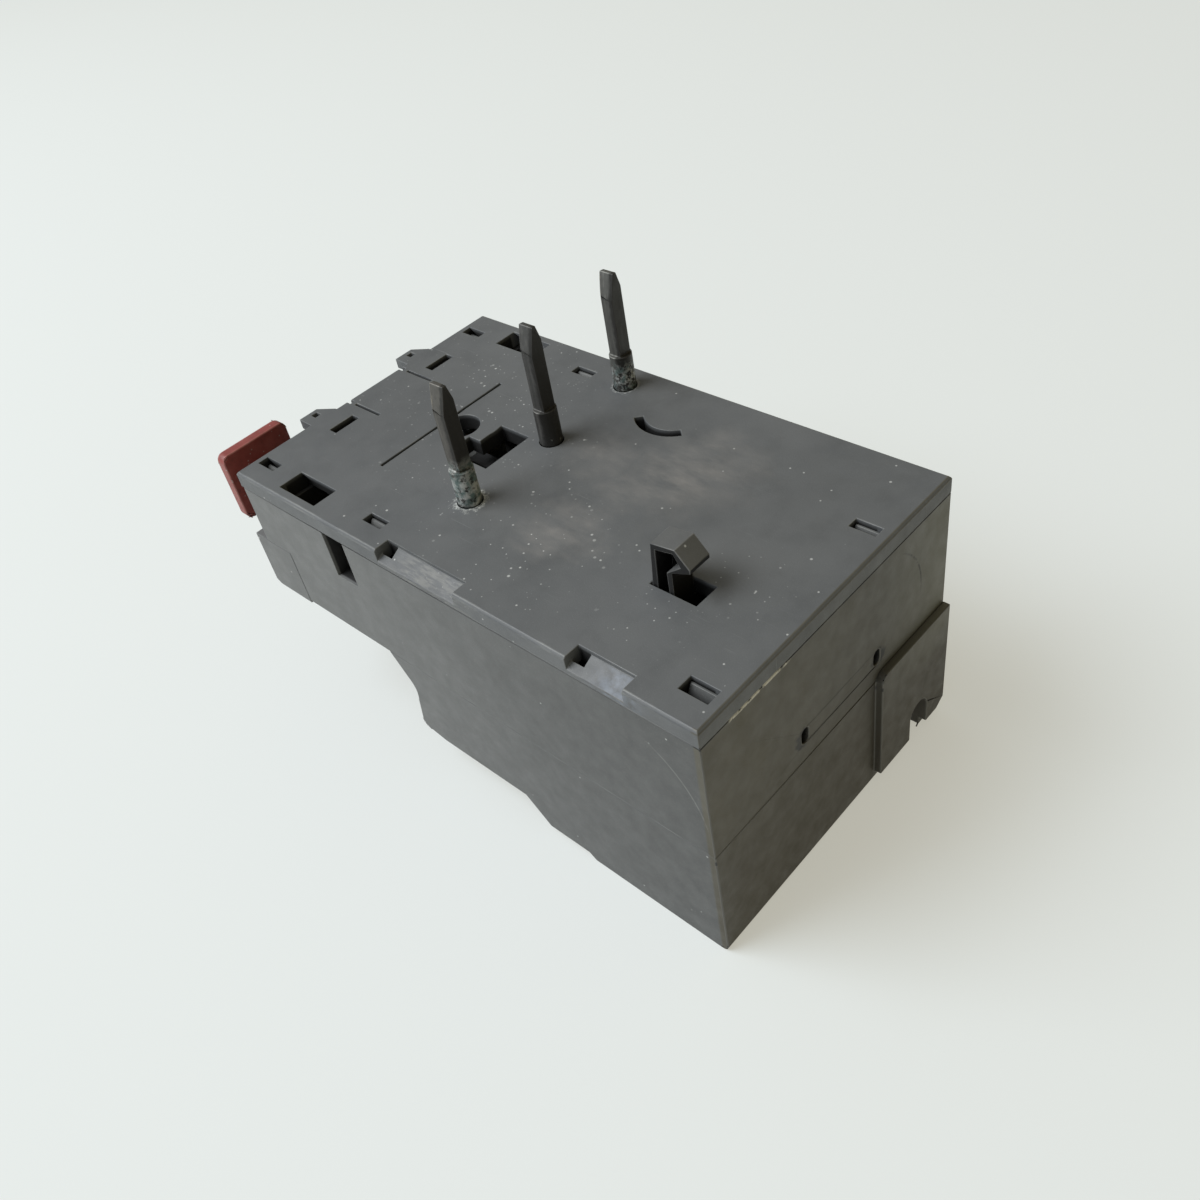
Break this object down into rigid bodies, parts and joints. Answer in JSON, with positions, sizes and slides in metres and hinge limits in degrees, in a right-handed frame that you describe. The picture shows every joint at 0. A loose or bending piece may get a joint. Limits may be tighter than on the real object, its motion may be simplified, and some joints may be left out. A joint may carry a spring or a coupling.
{
  "type": "thermal overload relay",
  "caption": "Plug-in thermal overload relay: flat mounting plate with line pins and a hook, stepped dark housing, stop and reset buttons, setting dial and a working trip mechanism inside.",
  "frame": {"origin": "on the middle line pin's axis, in the mounting face", "axes": "+X from the operator's front face to the rear, +Y across the poles, +Z out of the mounting face, along the pins"},
  "size_m": [0.0853, 0.045, 0.0544],
  "materials": {
    "plate_plastic": "fine matt texture, scratched and dusty",
    "case_plastic": "fine matt texture, dusty",
    "red_plastic": "worn satin",
    "dark_plastic": "plain",
    "white_plastic": "plain",
    "blue_plastic": "plain",
    "clear_plastic": "clear",
    "pin_metal": "tarnished silver plate",
    "copper_strap": "tinned copper",
    "bimetal": "rolled",
    "heater_ribbon": "heat tinted",
    "insulation": "woven glass sleeve",
    "screw_steel": "zinc plate",
    "spring_steel": "drawn wire",
    "contact_metal": "brass with silver tips",
    "mechanism_plastic": "black moulding"
  },
  "bodies": {
    "housing": {"pin_plate": "plate_plastic", "upper_case": "case_plastic", "lower_case": "case_plastic", "aux_block": "case_plastic", "hook_latch": "plate_plastic", "line_pin_1": "pin_metal", "line_strap_1": "copper_strap", "bimetal_strip_1": "bimetal", "heater_sleeve_1": "insulation", "heater_winding_1": "heater_ribbon", "load_strap_1": "copper_strap", "line_pin_2": "pin_metal", "line_strap_2": "copper_strap", "bimetal_strip_2": "bimetal", "heater_sleeve_2": "insulation", "heater_winding_2": "heater_ribbon", "load_strap_2": "copper_strap", "line_pin_3": "pin_metal", "line_strap_3": "copper_strap", "bimetal_strip_3": "bimetal", "heater_sleeve_3": "insulation", "heater_winding_3": "heater_ribbon", "load_strap_3": "copper_strap", "load_screws": "screw_steel", "load_saddles": "screw_steel", "aux_screws": "screw_steel", "aux_saddles": "screw_steel", "aux_terminal_1": "contact_metal", "aux_terminal_2": "contact_metal", "aux_terminal_3": "contact_metal", "aux_terminal_4": "contact_metal", "stop_spring": "spring_steel", "reset_spring": "spring_steel"},
    "stop": {"stop_button": "red_plastic", "stop_plunger": "dark_plastic"},
    "reset": {"reset_button": "blue_plastic"},
    "dial": {"setting_dial": "white_plastic"},
    "selector": {"mode_selector": "white_plastic"},
    "cover": {"dial_cover": "clear_plastic"},
    "trip_bar": {"trip_slide": "mechanism_plastic"},
    "differential_bar": {"differential_slide": "mechanism_plastic"},
    "differential_link": {"differential_lever": "mechanism_plastic"},
    "ambient_lever": {"trip_lever": "mechanism_plastic", "compensating_strip": "bimetal"},
    "rocker": {"trip_rocker": "mechanism_plastic", "trip_flag": "white_plastic"},
    "nc_arm": {"nc_contact_arm": "contact_metal"},
    "no_arm": {"no_contact_arm": "contact_metal"}
  },
  "joints": [
    {"name": "stop_push", "type": "slide", "parent": "housing", "child": "stop", "axis": [1, 0, 0], "range_m": [0, 0.0025], "stiffness_N_per_m": 800, "springref_m": -0.002, "deforming": ["stop_spring"]},
    {"name": "reset_push", "type": "slide", "parent": "housing", "child": "reset", "axis": [1, 0, 0], "range_m": [0, 0.0025], "stiffness_N_per_m": 700, "springref_m": -0.002, "deforming": ["reset_spring"]},
    {"name": "dial_turn", "type": "hinge", "parent": "housing", "child": "dial", "pos_m": [-0.0322, -0.0038, -0.0067], "axis": [1, 0, 0], "range_deg": [-135, 135]},
    {"name": "selector_turn", "type": "hinge", "parent": "housing", "child": "selector", "pos_m": [-0.0322, -0.0104, -0.0067], "axis": [1, 0, 0], "range_deg": [0, 90]},
    {"name": "cover_open", "type": "hinge", "parent": "housing", "child": "cover", "pos_m": [-0.0338, -0.0037, -0.0103], "axis": [0, -1, 0], "range_deg": [0, 95]},
    {"name": "overload_trip", "type": "slide", "parent": "housing", "child": "trip_bar", "axis": [0, -1, 0], "range_m": [0, 0.0012], "stiffness_N_per_m": 300, "springref_m": -0.0005},
    {"name": "phase_loss", "type": "slide", "parent": "trip_bar", "child": "differential_bar", "axis": [0, 1, 0], "range_m": [0, 0.0005], "stiffness_N_per_m": 300, "springref_m": -0.0005},
    {"name": "differential_turn", "type": "hinge", "parent": "trip_bar", "child": "differential_link", "pos_m": [0.013, -0.0018, -0.0038], "axis": [0, 0, 1], "range_deg": [0, 10.3]},
    {"name": "lever_swing", "type": "hinge", "parent": "housing", "child": "ambient_lever", "pos_m": [-0.0012, -0.0063, -0.0079], "axis": [0, 0, 1], "range_deg": [-5.1, 0]},
    {"name": "rocker_turn", "type": "hinge", "parent": "housing", "child": "rocker", "pos_m": [-0.0129, -0.0038, -0.005], "axis": [0, 0, 1], "range_deg": [0, 6.9]},
    {"name": "nc_open", "type": "hinge", "parent": "housing", "child": "nc_arm", "pos_m": [-0.0202, -0.00945, -0.0079], "axis": [0, 0, 1], "range_deg": [0, 15.5]},
    {"name": "no_close", "type": "hinge", "parent": "housing", "child": "no_arm", "pos_m": [-0.0176, 0.00085, -0.0079], "axis": [0, 0, 1], "range_deg": [0, 12.7]}
  ],
  "couplings": [
    {"joint": "differential_turn", "follows": "phase_loss", "rad_per_m": 357.14},
    {"joint": "lever_swing", "follows": "overload_trip", "rad_per_m": -73.33},
    {"joint": "rocker_turn", "follows": "overload_trip", "rad_per_m": 100},
    {"joint": "nc_open", "follows": "overload_trip", "rad_per_m": 225},
    {"joint": "no_close", "follows": "overload_trip", "rad_per_m": 183.3}
  ]
}
